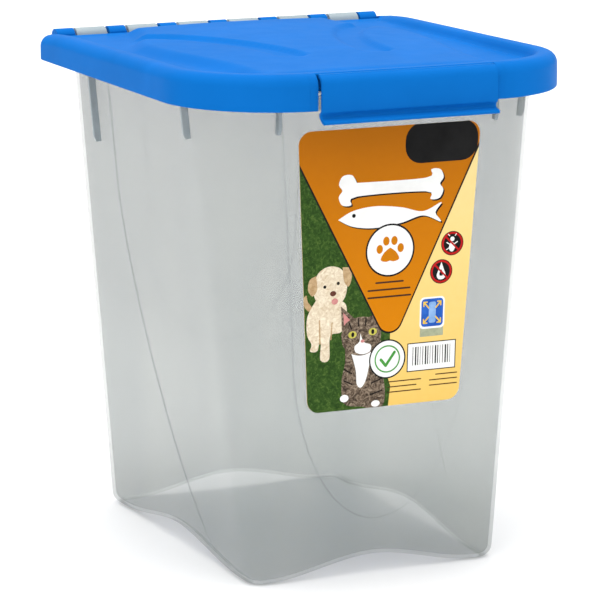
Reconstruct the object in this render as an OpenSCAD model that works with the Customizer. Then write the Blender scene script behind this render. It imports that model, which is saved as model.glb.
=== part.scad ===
// Pet food bin: a tapered clear bin on four feet, with a hinged lid, a lid seal and a front latch flap.
// Millimetres, +Z up. The front with the latch faces -Y. The origin is on the floor, under the middle of the
// whole object. The modules draw it with the bin's base centred, and placed() moves it.

/* [Bin] */
// Width of the bin at its rim
bin_top_w = 220; // [212:1:224]
// Width of the bin at its base
bin_base_w = 165; // [150:1:180]
// Depth of the bin at its base
bin_base_d = 228; // [215:1:235]
// Height of the rim above the floor
rim_z = 296; // [270:1:320]
// Wall thickness of the bin
bin_wall = 2.2; // [1.8:0.1:3]
// Height of the arches between the feet
arch_h = 11; // [4:0.5:14]

/* [Lid] */
// Width over the lid's skirt
lid_w = 249; // [248:1:252]
// Wall thickness of the lid
lid_wall = 2.2; // [1.8:0.1:2.4]
// How far the front of the lid bows out at its middle
lid_bow = 7; // [4:0.5:9]
// Height of the shallow dome in the lid's deck
dome_h = 4; // [1:0.5:5]

/* [Latch and hinge] */
// Width of the latch flap
latch_w = 112; // [90:1:112]
// Radius of the hinge rod
rod_r = 2; // [1.5:0.1:2.5]
// Radial running clearance of the rod in the bin's knuckles
rod_clearance = 0.06; // [0.02:0.01:0.1]

/* [Label] */
// Draw the printed front label
with_label = true;

/* [Hidden] */
bin_half_w = bin_top_w / 2;
bin_front_y = 128;
bin_back_y = 114;
bin_front_r = 40;
bin_back_r = 24;
base_half_w = bin_base_w / 2;
base_half_d = bin_base_d / 2;
base_r = 12;
edge_r = 7;
foot_reach = 0.84;
flange_t = 2;
flange_drop = 7;
flange_half_w = lid_w / 2 - lid_wall - 1.3;
flange_front_y = 146.5;
flange_back_y = 119.5;
flange_front_r = 60;
flange_back_r = 30;
lid_half_w = lid_w / 2;
lid_front_y = 150;
lid_back_y = 124;
lid_front_r = 63;
lid_back_r = 12;
skirt_z = rim_z - 7;
deck_under_z = rim_z + 4.2;
deck_z = deck_under_z + lid_wall;
brim_back_z = rim_z + 10;
brim_front_z = rim_z + 14;
brim_dip = 1.7;
dip_start_y = 85;
lid_edge_back_y = 117.5;
hinge_y = 123.5;
hinge_z = rim_z + 5;
knuckle_r = 5.2;
knuckle_pitch = 35.2;
bin_knuckle_len = 20.4;
lid_knuckle_len = 11.4;
end_knuckle_len = 12;
rod_half_len = 110.5;
latch_gap = 1.2;
latch_face_y = lid_front_y + lid_bow + 1.5;
latch_t = 2.2;
latch_hinge_y = lid_front_y + lid_bow - 5;
latch_hinge_z = brim_front_z - 0.3;
seal_w = 4.4;
seal_gap = 0.3;
corner_steps = 8;
side_steps = 10;

lip_front_y = latch_face_y + 3;
centre_y = (lip_front_y - hinge_y - knuckle_r) / 2;

clear_plastic = [0.78, 0.81, 0.81, 0.45];
lid_blue = [0.09, 0.45, 0.86];
seal_white = [0.93, 0.93, 0.9];
rod_grey = [0.75, 0.75, 0.72];
label_orange = [0.88, 0.55, 0.12];

// ---- rings: closed outlines of a box with rounded corners, seen from above ----

function quarter(cx, cy, r, from) =
    [for (k = [0:corner_steps]) [cx + r * cos(from + 90 * k / corner_steps), cy + r * sin(from + 90 * k / corner_steps)]];

function along(a, b, fractions) = [for (f = fractions) a + (b - a) * f];

function even(steps) = [for (k = [1:steps - 1]) k / steps];

// front_f and back_f are where the points sit along the straight front and back
function ring(half_w, front, back, front_r, back_r, front_f, back_f) =
    let (
        fr = max(front_r, 1.5),
        br = max(back_r, 1.5),
        a = quarter(-half_w + fr, -front + fr, fr, 180),
        b = quarter(half_w - fr, -front + fr, fr, 270),
        c = quarter(half_w - br, back - br, br, 0),
        d = quarter(-half_w + br, back - br, br, 90)
    )
    concat(
        a, along(a[corner_steps], b[0], front_f),
        b, along(b[corner_steps], c[0], even(side_steps)),
        c, along(c[corner_steps], d[0], back_f),
        d, along(d[corner_steps], a[0], even(side_steps))
    );

function bowed(points, half_w, bow) =
    [for (p = points) [p[0], p[1] < 0 ? p[1] - bow * (1 - pow(p[0] / half_w, 2)) : p[1]]];

function mix(a, b, t) = a + (b - a) * t;

function smooth(u) = let (s = max(0, min(1, u))) s * s * (3 - 2 * s);

function lifted(points, z) = [for (p = points) [p[0], p[1], z]];

// Skins a list of rings into one closed solid; the first and last rings close on a middle point.
module skin(rings, first_mid, last_mid) {
    n = len(rings[0]);
    m = len(rings);
    points = concat([for (r = rings) for (p = r) p], [first_mid, last_mid]);
    first = n * m;
    last = first + 1;
    walls = [
        for (k = [0:m - 2])
            for (i = [0:n - 1])
                for (t = [0:1])
                    t == 0
                        ? [k * n + i, (k + 1) * n + i, k * n + (i + 1) % n]
                        : [k * n + (i + 1) % n, (k + 1) * n + i, (k + 1) * n + (i + 1) % n]
    ];
    ends = [
        for (i = [0:n - 1])
            for (t = [0:1])
                t == 0
                    ? [first, i, (i + 1) % n]
                    : [last, (m - 1) * n + (i + 1) % n, (m - 1) * n + i]
    ];
    polyhedron(points = points, faces = concat(walls, ends), convexity = 10);
}

// ---- the bin ----

function bin_base(inset) =
    ring(base_half_w - inset, base_half_d - inset, base_half_d - inset, base_r - inset, base_r - inset,
        even(side_steps), even(side_steps));

function bin_top(inset) =
    ring(bin_half_w - inset, bin_front_y - inset, bin_back_y - inset, bin_front_r - inset, bin_back_r - inset,
        even(side_steps), even(side_steps));

// The floor stands on its four corners and rises in a vault between them
function vault_z(p) =
    arch_h * (1 - smooth(abs(p[0]) / base_half_w / foot_reach) * smooth(abs(p[1]) / base_half_d / foot_reach));

// The wall is straight from the base outline to the rim outline
function wall_ring(inset, heights) =
    let (low = bin_base(inset), high = bin_top(inset))
    [for (i = [0:len(low) - 1])
        let (p = mix(low[i], high[i], heights[i] / rim_z)) [p[0], p[1], heights[i]]];

function floor_ring(outline, s, lift) =
    [for (p = outline) [p[0] * s, p[1] * s, vault_z(p * s) + lift]];

function edge_rings(inset, r, foot, lift, angles) =
    [for (a = angles)
        wall_ring(inset + r * (1 - sin(a)), [for (p = foot) vault_z(p) + lift + r * (1 - cos(a))])];

function flange_ring(inset, z) =
    lifted(bowed(ring(flange_half_w - inset, flange_front_y - inset, flange_back_y - inset,
        flange_front_r - inset, flange_back_r - inset, even(side_steps), even(side_steps)),
        flange_half_w, lid_bow), z);

module bin_shell() {
    foot = bin_base(edge_r);
    heights = [for (p = foot) vault_z(p)];
    scales = [0.12, 0.27, 0.42, 0.56, 0.69, 0.8, 0.9, 0.96];
    outside = concat(
        [for (s = scales) floor_ring(foot, s, 0)],
        edge_rings(0, edge_r, foot, 0, [0, 22.5, 45, 67.5, 90]),
        [for (k = [1:4]) wall_ring(0, [for (h = heights) mix(h + edge_r, rim_z - flange_t, k / 4)])],
        [flange_ring(flange_t, rim_z - flange_t), flange_ring(flange_t, rim_z - flange_drop)],
        [flange_ring(0, rim_z - flange_drop), flange_ring(0, rim_z - 0.8), flange_ring(0.8, rim_z)]
    );
    inner_r = edge_r - bin_wall;
    inside = concat(
        [wall_ring(bin_wall, [for (h = heights) rim_z])],
        [for (k = [3:-1:1]) wall_ring(bin_wall, [for (h = heights) mix(h + edge_r, rim_z, k / 4)])],
        edge_rings(bin_wall, inner_r, foot, bin_wall, [90, 60, 30, 0]),
        [for (k = [len(scales) - 1:-1:0]) floor_ring(foot, scales[k], bin_wall)]
    );
    color(clear_plastic)
        skin(concat(outside, inside), [0, 0, arch_h], [0, 0, arch_h + bin_wall]);
}

// Six barrels on arms that rise from the back of the rim flange
module bin_hinge_knuckles() {
    color(clear_plastic)
        for (k = [-2.5:1:2.5])
            translate([k * knuckle_pitch - bin_knuckle_len / 2, 0, 0])
                difference() {
                    union() {
                        translate([0, hinge_y, hinge_z])
                            rotate([0, 90, 0])
                                cylinder(r = knuckle_r, h = bin_knuckle_len, $fn = 48);
                        translate([0, flange_back_y - 0.05, rim_z - flange_drop])
                            cube([bin_knuckle_len, 2.4, hinge_z - rim_z + flange_drop]);
                    }
                    translate([-1, hinge_y, hinge_z])
                        rotate([0, 90, 0])
                            cylinder(r = rod_r + rod_clearance, h = bin_knuckle_len + 2, $fn = 48);
                }
}

// Thin gussets under the rim that keep stacked empty bins from jamming
module gusset(length, depth) {
    rotate([90, 0, 0])
        linear_extrude(height = 2, center = true)
            polygon([[-0.3, 0], [depth, 0], [depth, -length + 3], [depth - 1.2, -length], [-0.3, -length]]);
}

module bin_gussets() {
    top = rim_z - flange_t - 0.3;
    side_lean = atan((bin_half_w - base_half_w) / rim_z);
    front_lean = atan((bin_front_y - base_half_d) / rim_z);
    color(clear_plastic) {
        for (side = [-1, 1]) {
            for (spot = [[62, 50], [-86, 27]])
                translate([side * (bin_half_w - (rim_z - top) * tan(side_lean)), spot[0], top])
                    rotate([0, side * side_lean, 0])
                        mirror([side < 0 ? 1 : 0, 0, 0])
                            gusset(spot[1], 4);
        }
        for (x = [-70, -17, 8, 17, 70])
            translate([x, -bin_front_y + (rim_z - top) * tan(front_lean), top])
                rotate([front_lean, 0, 0])
                    rotate([0, 0, -90])
                        gusset(abs(x) > 60 ? 21 : 12, 4);
    }
}

// The label follows the lean of the front wall, and widens a little towards the top
module front_label() {
    lean = atan((bin_front_y - base_half_d) / rim_z);
    low = 104;
    high = 273;
    low_half = 49.5;
    high_half = 59.1;
    r = 8;
    corners = [[-low_half + r, low + r], [low_half - r, low + r], [high_half - r, high - r], [-high_half + r, high - r]];
    if (with_label)
        color(label_orange)
            translate([1.9, -base_half_d, 0])
                rotate([90 + lean, 0, 0])
                    linear_extrude(height = 0.25)
                        hull()
                            for (c = corners)
                                translate(c)
                                    circle(r = r, $fn = 48);
}

// ---- the lid ----

slit_x = latch_w / 2 + latch_gap;
front_straight = lid_half_w - lid_front_r;
front_xs = [-slit_x, -slit_x + 0.05, -43, -29, -14, 0, 14, 29, 43, slit_x - 0.05, slit_x];
lid_front_f = [for (x = front_xs) (x + front_straight) / 2 / front_straight];
back_straight = lid_half_w - lid_back_r;
hinge_zone = back_straight - 1;
back_xs = [hinge_zone, hinge_zone - 0.05, 94, 76, 58, 39, 20, 0, -20, -39, -58, -76, -94, -hinge_zone + 0.05, -hinge_zone];
lid_back_f = [for (x = back_xs) (back_straight - x) / 2 / back_straight];
front_start = corner_steps + 1;
back_start = front_start + len(front_xs) + (corner_steps + 1) + (side_steps - 1) + (corner_steps + 1);

function lid_ring(inset) =
    bowed(ring(lid_half_w - inset, lid_front_y - inset, lid_back_y - inset, lid_front_r - inset,
        lid_back_r - inset, lid_front_f, lid_back_f), lid_half_w, lid_bow);

// The brim rises towards the front, and dips a little before the hinge
function brim_z(y) =
    mix(brim_back_z, brim_front_z, (lid_back_y - y) / (lid_back_y + lid_front_y))
    - brim_dip * smooth((y - dip_start_y) / (lid_back_y - dip_start_y));

// Profile of the lid's edge as [inset, height], from the underside round the skirt to the deck
function plain_edge(z) = [
    [22, deck_under_z], [13, deck_under_z], [10, z - lid_wall], [6, z - lid_wall], [3.4, z - 3.6],
    [lid_wall, z - 6.6], [lid_wall, skirt_z], [0, skirt_z], [0, z - 6], [0.6, z - 3.4], [1.9, z - 1.7],
    [3.6, z - 0.5], [6, z], [11, z], [12.6, z - 0.8], [15, deck_z + 0.4], [16.4, deck_z], [22, deck_z]
];

// Behind the latch flap the skirt is cut away
function latch_edge(z) = [
    [22, deck_under_z], [13, deck_under_z], [10, z - lid_wall], [7.5, z - lid_wall], [6.8, z - lid_wall],
    [6.2, z - lid_wall], [5.8, z - lid_wall], [5.5, z - 2], [5.5, z - 1.7], [5.5, z - 1.4], [5.5, z - 1.1],
    [5.55, z - 0.6], [6.2, z], [11, z], [12.6, z - 0.8], [15, deck_z + 0.4], [16.4, deck_z], [22, deck_z]
];

// Along the hinge the lid ends in a low straight edge
function hinge_edge() =
    let (e = lid_back_y - lid_edge_back_y, u = deck_under_z, h = deck_z + 0.9)
    [
        [22, u], [19.5, u], [18, u], [16.5, u], [15, u], [13.5, u], [12, u], [e, u], [e, u + 1], [e, u + 2],
        [e + 0.2, h - 0.7], [e + 0.7, h - 0.2], [e + 1.6, h], [e + 4, h], [e + 5, h - 0.3],
        [e + 6.5, deck_z + 0.2], [e + 7.6, deck_z], [22, deck_z]
    ];

function in_latch(i) = i > front_start && i < front_start + len(front_xs) - 1;
function in_hinge(i) = i > back_start && i < back_start + len(back_xs) - 1;

// The deck swells into a broad shallow dome that fades out before the brim
function dome(p) = let (u = norm([p[0] / 96, (p[1] + 12) / 116])) dome_h * smooth((1 - u) / 0.75);

module lid_shell() {
    count = len(lid_ring(0));
    steps = len(plain_edge(0));
    outlines = [for (i = [0:count - 1]) lid_ring(0)[i]];
    profile = [for (i = [0:count - 1])
        in_latch(i) ? latch_edge(brim_z(outlines[i][1]))
            : in_hinge(i) ? hinge_edge() : plain_edge(brim_z(outlines[i][1]))];
    plain_insets = [for (e = plain_edge(0)) lid_ring(e[0])];
    latch_insets = [for (e = latch_edge(0)) lid_ring(e[0])];
    hinge_insets = [for (e = hinge_edge()) lid_ring(e[0])];
    edge = [for (k = [0:steps - 1])
        [for (i = [0:count - 1])
            let (p = in_latch(i) ? latch_insets[k][i] : in_hinge(i) ? hinge_insets[k][i] : plain_insets[k][i])
            [p[0], p[1], profile[i][k][1]]]];
    deck = lid_ring(22);
    mid = [0, -12];
    scales = [0.15, 0.3, 0.45, 0.6, 0.75, 0.88];
    function deck_ring(s, z) = [for (p = deck) let (q = mix(mid, p, s)) [q[0], q[1], z + dome(q)]];
    color(lid_blue)
        skin(
            concat(
                [for (s = scales) deck_ring(s, deck_under_z)],
                edge,
                [for (k = [len(scales) - 1:-1:0]) deck_ring(scales[k], deck_z)]
            ),
            [mid[0], mid[1], deck_under_z + dome_h], [mid[0], mid[1], deck_z + dome_h]
        );
}

module lid_knuckle(length) {
    difference() {
        union() {
            rotate([0, 90, 0])
                cylinder(r = knuckle_r, h = length, $fn = 48);
            translate([0, lid_edge_back_y - hinge_y - 0.1, deck_under_z - hinge_z + 0.3])
                cube([length, hinge_y - lid_edge_back_y, 3.2]);
        }
        translate([-1, 0, 0])
            rotate([0, 90, 0])
                cylinder(r = rod_r, h = length + 2, $fn = 48);
    }
}

// Five barrels between the bin's six, and one at each end
module lid_hinge_knuckles() {
    inner_end = 2.5 * knuckle_pitch + bin_knuckle_len / 2 + 1.2;
    color(lid_blue)
        translate([0, hinge_y, hinge_z]) {
            for (k = [-2:2])
                translate([k * knuckle_pitch - lid_knuckle_len / 2, 0, 0])
                    lid_knuckle(lid_knuckle_len);
            translate([inner_end, 0, 0])
                lid_knuckle(end_knuckle_len);
            translate([-inner_end - end_knuckle_len, 0, 0])
                lid_knuckle(end_knuckle_len);
        }
}

module hinge_rod() {
    color(rod_grey)
        translate([-rod_half_len, hinge_y, hinge_z])
            rotate([0, 90, 0])
                cylinder(r = rod_r, h = 2 * rod_half_len, $fn = 48);
}

// Outline for the seal, as exact arcs and straight sides
module seal_plan(inset) {
    half_w = 111 - inset;
    front = 134.5 - inset;
    back = 115 - inset;
    front_r = 45 - inset;
    back_r = 23 - inset;
    union() {
        for (side = [-1, 1]) {
            translate([side * (half_w - front_r), -front + front_r])
                circle(r = front_r, $fn = 96);
            translate([side * (half_w - back_r), back - back_r])
                circle(r = back_r, $fn = 96);
        }
        polygon([
            [-half_w + front_r, -front], [half_w - front_r, -front], [half_w, -front + front_r],
            [half_w, back - back_r], [half_w - back_r, back], [-half_w + back_r, back],
            [-half_w, back - back_r], [-half_w, -front + front_r]
        ]);
    }
}

module seal_ring(inner, outer, low, high) {
    translate([0, 0, low])
        linear_extrude(height = high - low)
            difference() {
                seal_plan(outer);
                seal_plan(inner);
            }
}

// Two ribs under the lid that hold the seal between them
module lid_seal_ribs() {
    color(lid_blue) {
        seal_ring(-0.7, -2, rim_z + 1.4, deck_under_z);
        seal_ring(seal_w - 0.7 + 1.3, seal_w - 0.7, rim_z + 1.4, deck_under_z);
    }
}

module lid_seal() {
    color(seal_white)
        seal_ring(seal_w - 0.72, -0.68, rim_z + seal_gap, deck_under_z);
}

// ---- the latch ----

// Flap that wraps over the lid's front edge and ends in a finger lip, with a bead inside that catches the rim
module latch_flap() {
    y = latch_face_y;
    z = brim_front_z;
    low = skirt_z;
    bead_y = flange_front_y + lid_bow + 0.4;
    color(lid_blue)
        translate([-latch_w / 2, 0, 0])
            rotate([90, 0, 90])
                linear_extrude(height = latch_w)
                    polygon([
                        [-latch_hinge_y - 0.45, z - 0.3], [-y + 4.2, z - 0.4], [-y + 2.2, z - 1.4],
                        [-y + 0.8, z - 3], [-y, z - 5.6], [-y, low - 2.2], [-y + 0.8, low - 3.1],
                        [-y + 0.8, low - 4], [-y - 2.2, low - 4.9], [-y - 3, low - 5.8], [-y - 2.8, low - 7],
                        [-y - 2, low - 7.6], [-y + 1.2, low - 6.6], [-bead_y, low - 3.8], [-bead_y, low - 1.6],
                        [-y + latch_t, low - 0.3], [-y + latch_t, z - 6.2], [-y + 3.2, z - 3.6],
                        [-y + 4.8, z - 2.6], [-latch_hinge_y - 0.45, z - 2.4]
                    ]);
}

// Thin web that the flap bends on
module latch_web() {
    color(lid_blue)
        translate([-latch_w / 2 + 1, -latch_hinge_y - 0.15, latch_hinge_z - 0.8])
            cube([latch_w - 2, 2.4, 0.7]);
}

module placed() {
    translate([0, centre_y, 0])
        children();
}

placed() bin_shell();
placed() bin_hinge_knuckles();
placed() bin_gussets();
placed() front_label();
placed() lid_shell();
placed() lid_hinge_knuckles();
placed() hinge_rod();
placed() lid_seal_ribs();
placed() lid_seal();
placed() latch_flap();
placed() latch_web();
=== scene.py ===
import math

import bmesh
import bpy
from mathutils import Matrix, Vector, geometry


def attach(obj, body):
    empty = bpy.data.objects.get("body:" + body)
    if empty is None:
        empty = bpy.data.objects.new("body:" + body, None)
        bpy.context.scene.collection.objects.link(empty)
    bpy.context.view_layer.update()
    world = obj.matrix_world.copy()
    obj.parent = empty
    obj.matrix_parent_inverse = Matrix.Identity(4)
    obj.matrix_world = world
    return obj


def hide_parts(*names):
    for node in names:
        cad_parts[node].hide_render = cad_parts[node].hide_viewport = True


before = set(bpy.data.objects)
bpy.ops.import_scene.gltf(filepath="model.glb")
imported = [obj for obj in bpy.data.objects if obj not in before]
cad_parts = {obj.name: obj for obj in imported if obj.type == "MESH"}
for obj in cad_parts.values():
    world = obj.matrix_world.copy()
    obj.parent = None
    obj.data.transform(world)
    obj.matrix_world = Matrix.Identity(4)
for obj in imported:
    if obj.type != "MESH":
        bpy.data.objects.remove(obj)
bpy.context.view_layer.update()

# Sizes in millimetres. Shapes are drawn with the bin's base centred, and every mesh is moved by MIDDLE_Y when
# it is made. They match the CAD part, except for the hinge barrels, the panels, the deck's relief and the
# recess above the latch's lip, which are only drawn here or are a little bolder here.
MIDDLE_Y = 16.4
RIM_Z = 296.0
BASE_X, BASE_Y, BASE_R = 82.5, 114.0, 12.0
TOP_X, TOP_FRONT, TOP_BACK = 110.0, 128.0, 114.0
TOP_FRONT_R, TOP_BACK_R = 40.0, 24.0
WALL = 2.2
EDGE_R = 7.0
ARCH = 11.0
FOOT_REACH = 0.84
FLANGE_X, FLANGE_FRONT, FLANGE_BACK = 121.0, 146.5, 119.5
FLANGE_FRONT_R, FLANGE_BACK_R = 60, 30
BOW = 7.0
LID_X, LID_FRONT, LID_BACK = 124.5, 150.0, 124.0
LID_FRONT_R, LID_BACK_R = 63.0, 12.0
SKIRT_Z = RIM_Z - 7
UNDER_Z = RIM_Z + 4.2
DECK_Z = UNDER_Z + WALL
BRIM_BACK_Z, BRIM_FRONT_Z = RIM_Z + 10, RIM_Z + 14
LID_EDGE_BACK = 117.5
HINGE_Y, HINGE_Z = 123.5, RIM_Z + 5
KNUCKLE_R = 5.8  # the CAD barrel on the same axis is 5.2
PITCH = 35.2
BIN_KNUCKLE_HALF, LID_KNUCKLE_HALF = 10.2, 5.7
END_KNUCKLE, END_GAP = 12, 1.2
BRIM_DIP, BRIM_DIP_Y = 1.7, 85
DOME_RISE = 6.0
GROOVE_DEPTH, GROOVE_HALF = 2.4, 6.0
LATCH_W = 112.0
SLIT_X = LATCH_W / 2 + 1.2
LATCH_FACE = LID_FRONT + BOW + 1.5
LATCH_PIVOT = LID_FRONT + BOW - 5
# The wall's panels: the front and back ones stand out, and the side walls are recessed in front of their step.
PANEL_RISE = 0.8
STEP_HALF = 0.45
PANEL_TOP_Z = RIM_Z - 5
FRONT_PANEL = {"half_top": 68, "half_mid": 58, "mid_z": 150, "low_z": 35}
BACK_PANEL = {"half_top": 58, "half_mid": 51, "mid_z": 168, "low_z": 98}
SIDE_STEP_Y, SIDE_STEP_END_Y = 40, -66
SIDE_STEP_BEND_Z, SIDE_STEP_LOW_Z = 215, 12
SIDE_STEP_POWER = 1.4


# ------------------------------------------------------------------ small maths

def mix(a, b, t):
    return a + (b - a) * t


def smooth(u):
    u = max(0.0, min(1.0, u))
    return u * u * (3 - 2 * u)


def even(steps):
    return [k / steps for k in range(1, steps)]


def quarter(cx, cy, r, start, steps):
    return [(cx + r * math.cos(math.radians(start + 90 * k / steps)),
             cy + r * math.sin(math.radians(start + 90 * k / steps))) for k in range(steps + 1)]


def along(a, b, fractions):
    return [(mix(a[0], b[0], f), mix(a[1], b[1], f)) for f in fractions]


def ring(half_w, front, back, front_r, back_r, steps, front_f, side_f, back_f):
    fr, br = max(front_r, 1.5), max(back_r, 1.5)
    a = quarter(-half_w + fr, -front + fr, fr, 180, steps)
    b = quarter(half_w - fr, -front + fr, fr, 270, steps)
    c = quarter(half_w - br, back - br, br, 0, steps)
    d = quarter(-half_w + br, back - br, br, 90, steps)
    return (a + along(a[-1], b[0], front_f) + b + along(b[-1], c[0], side_f)
            + c + along(c[-1], d[0], back_f) + d + along(d[-1], a[0], side_f))


def bowed(points, half_w, bow):
    return [(x, y - bow * (1 - (x / half_w) ** 2) if y < 0 else y) for x, y in points]


def inside(p, loop):
    hit = False
    x, y = p
    for i in range(len(loop)):
        x1, y1 = loop[i]
        x2, y2 = loop[i - 1]
        if (y1 > y) != (y2 > y) and x < (x2 - x1) * (y - y1) / (y2 - y1) + x1:
            hit = not hit
    return hit


def curve_points(points, spacing):
    """A smooth curve through the points, sampled about every spacing."""
    out = []
    n = len(points)
    for i in range(n - 1):
        p0, p1, p2, p3 = (Vector(points[max(i - 1, 0)]), Vector(points[i]),
                          Vector(points[i + 1]), Vector(points[min(i + 2, n - 1)]))
        steps = max(1, int((p2 - p1).length / spacing))
        for k in range(steps):
            t = k / steps
            out.append(0.5 * (2 * p1 + (p2 - p0) * t + (2 * p0 - 5 * p1 + 4 * p2 - p3) * t * t
                              + (3 * p1 - p0 - 3 * p2 + p3) * t ** 3))
    out.append(Vector(points[-1]))
    return [(p[0], p[1]) for p in out]


def side_steps(points, distance):
    """The same open line moved sideways to its left by distance."""
    out = []
    for i, p in enumerate(points):
        a = Vector(points[max(i - 1, 0)])
        b = Vector(points[min(i + 1, len(points) - 1)])
        d = (b - a).normalized()
        out.append((p[0] - d[1] * distance, p[1] + d[0] * distance))
    return out


def near_line(p, line, reach):
    q = Vector(p)
    for i in range(len(line) - 1):
        a, b = Vector(line[i]), Vector(line[i + 1])
        ab = b - a
        t = max(0.0, min(1.0, (q - a).dot(ab) / max(ab.length_squared, 1e-9)))
        if (a + ab * t - q).length < reach:
            return True
    return False


# ------------------------------------------------------------------ mesh tools

class Shape:
    """Vertices in millimetres, and faces with a material index."""

    def __init__(self):
        self.v = []
        self.f = []
        self.m = []

    def add(self, points):
        start = len(self.v)
        self.v.extend([tuple(p) for p in points])
        return list(range(start, start + len(points)))

    def face(self, indices, mat=0):
        self.f.append(tuple(indices))
        self.m.append(mat)

    def strip(self, low, high, skip=(), mat=0):
        n = len(low)
        for i in range(n):
            if i in skip:
                continue
            j = (i + 1) % n
            self.face((low[i], low[j], high[j], high[i]), mat)

    def cap(self, loop, middle, flip=False, mat=0):
        c = self.add([middle])[0]
        n = len(loop)
        for i in range(n):
            j = (i + 1) % n
            self.face((c, loop[j], loop[i]) if flip else (c, loop[i], loop[j]), mat)

    def patch(self, loop, flat, lines, extra, place, flip=False, mat_of=None):
        """Fills a loop of existing vertices with triangles that follow the lines and pass through the extra points.
        flat gives the loop's 2-D places, and place turns a 2-D point into a 3-D one."""
        points = [Vector(p) for p in flat]
        edges = []
        for line in lines:
            start = len(points)
            points += [Vector(p) for p in line]
            edges += [(start + k, start + k + 1) for k in range(len(line) - 1)]
        points += [Vector(p) for p in extra]
        out = geometry.delaunay_2d_cdt(points, edges, [list(range(len(flat)))], 1, 1e-4)
        index = []
        for k, p in enumerate(out[0]):
            source = [s for s in out[3][k] if s < len(flat)]
            index.append(loop[source[0]] if source else self.add([place(p[0], p[1])])[0])
        for tri in out[2]:
            ids = [index[k] for k in tri]
            if len(set(ids)) < 3:
                continue
            mid = sum((out[0][k] for k in tri), Vector((0, 0))) / len(tri)
            self.face(reversed(ids) if flip else ids, mat_of(mid) if mat_of else 0)

    def build(self, name, body, mats, replaces=(), sharp=35.0, move=True):
        mesh = bpy.data.meshes.new(name)
        dy = MIDDLE_Y if move else 0.0
        mesh.from_pydata([(x / 1000, (y + dy) / 1000, z / 1000) for x, y, z in self.v], [], self.f)
        for mat in mats:
            mesh.materials.append(mat)
        mesh.polygons.foreach_set("material_index", self.m)
        mesh.polygons.foreach_set("use_smooth", [True] * len(self.f))
        bm = bmesh.new()
        bm.from_mesh(mesh)
        bmesh.ops.remove_doubles(bm, verts=bm.verts, dist=1e-6)
        loose = [v for v in bm.verts if not v.link_faces]
        bmesh.ops.delete(bm, geom=loose, context="VERTS")
        limit = math.radians(sharp)
        for e in bm.edges:
            e.smooth = len(e.link_faces) == 2 and e.calc_face_angle(0) < limit
        bm.to_mesh(mesh)
        bm.free()
        mesh.validate()
        obj = bpy.data.objects.new(name, mesh)
        bpy.context.scene.collection.objects.link(obj)
        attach(obj, body)
        if replaces:
            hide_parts(*replaces)
        return obj


def bevelled(obj, width, segments=3, angle=30.0):
    """Rounds the object's sharp edges by width, in millimetres."""
    mod = obj.modifiers.new("round", "BEVEL")
    mod.width = width / 1000
    mod.segments = segments
    mod.limit_method = "ANGLE"
    mod.angle_limit = math.radians(angle)
    mod.harden_normals = False
    depsgraph = bpy.context.evaluated_depsgraph_get()
    done = bpy.data.meshes.new_from_object(obj.evaluated_get(depsgraph))
    obj.modifiers.remove(mod)
    obj.data = done
    for p in obj.data.polygons:
        p.use_smooth = True
    bm = bmesh.new()
    bm.from_mesh(obj.data)
    for e in bm.edges:
        e.smooth = len(e.link_faces) == 2 and e.calc_face_angle(0) < math.radians(50)
    bm.to_mesh(obj.data)
    bm.free()
    return obj


# ------------------------------------------------------------------ materials

def material(name):
    mat = bpy.data.materials.new(name)
    mat.use_nodes = True
    tree = mat.node_tree
    shader = tree.nodes["Principled BSDF"]
    return mat, tree, shader


def noise(tree, scale, detail=3.0, rough=0.5, distortion=0.0, stretch=1.0):
    """Noise in the object's own space, drawn out along Z by stretch."""
    coord = tree.nodes.new("ShaderNodeTexCoord")
    mapping = tree.nodes.new("ShaderNodeMapping")
    mapping.inputs["Scale"].default_value = (1, 1, 1 / stretch)
    tex = tree.nodes.new("ShaderNodeTexNoise")
    tex.inputs["Scale"].default_value = scale
    tex.inputs["Detail"].default_value = detail
    tex.inputs["Roughness"].default_value = rough
    tex.inputs["Distortion"].default_value = distortion
    tree.links.new(coord.outputs["Object"], mapping.inputs["Vector"])
    tree.links.new(mapping.outputs["Vector"], tex.inputs["Vector"])
    return tex


def ramp(tree, source, stops):
    node = tree.nodes.new("ShaderNodeValToRGB")
    while len(node.color_ramp.elements) < len(stops):
        node.color_ramp.elements.new(0.5)
    for element, (pos, colour) in zip(node.color_ramp.elements, stops):
        element.position = pos
        element.color = (*colour, 1.0) if len(colour) == 3 else colour
    tree.links.new(source, node.inputs["Fac"])
    return node


def bump(tree, shader, source, strength, distance):
    node = tree.nodes.new("ShaderNodeBump")
    node.inputs["Strength"].default_value = strength
    node.inputs["Distance"].default_value = distance
    tree.links.new(source, node.inputs["Height"])
    tree.links.new(node.outputs["Normal"], shader.inputs["Normal"])


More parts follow.
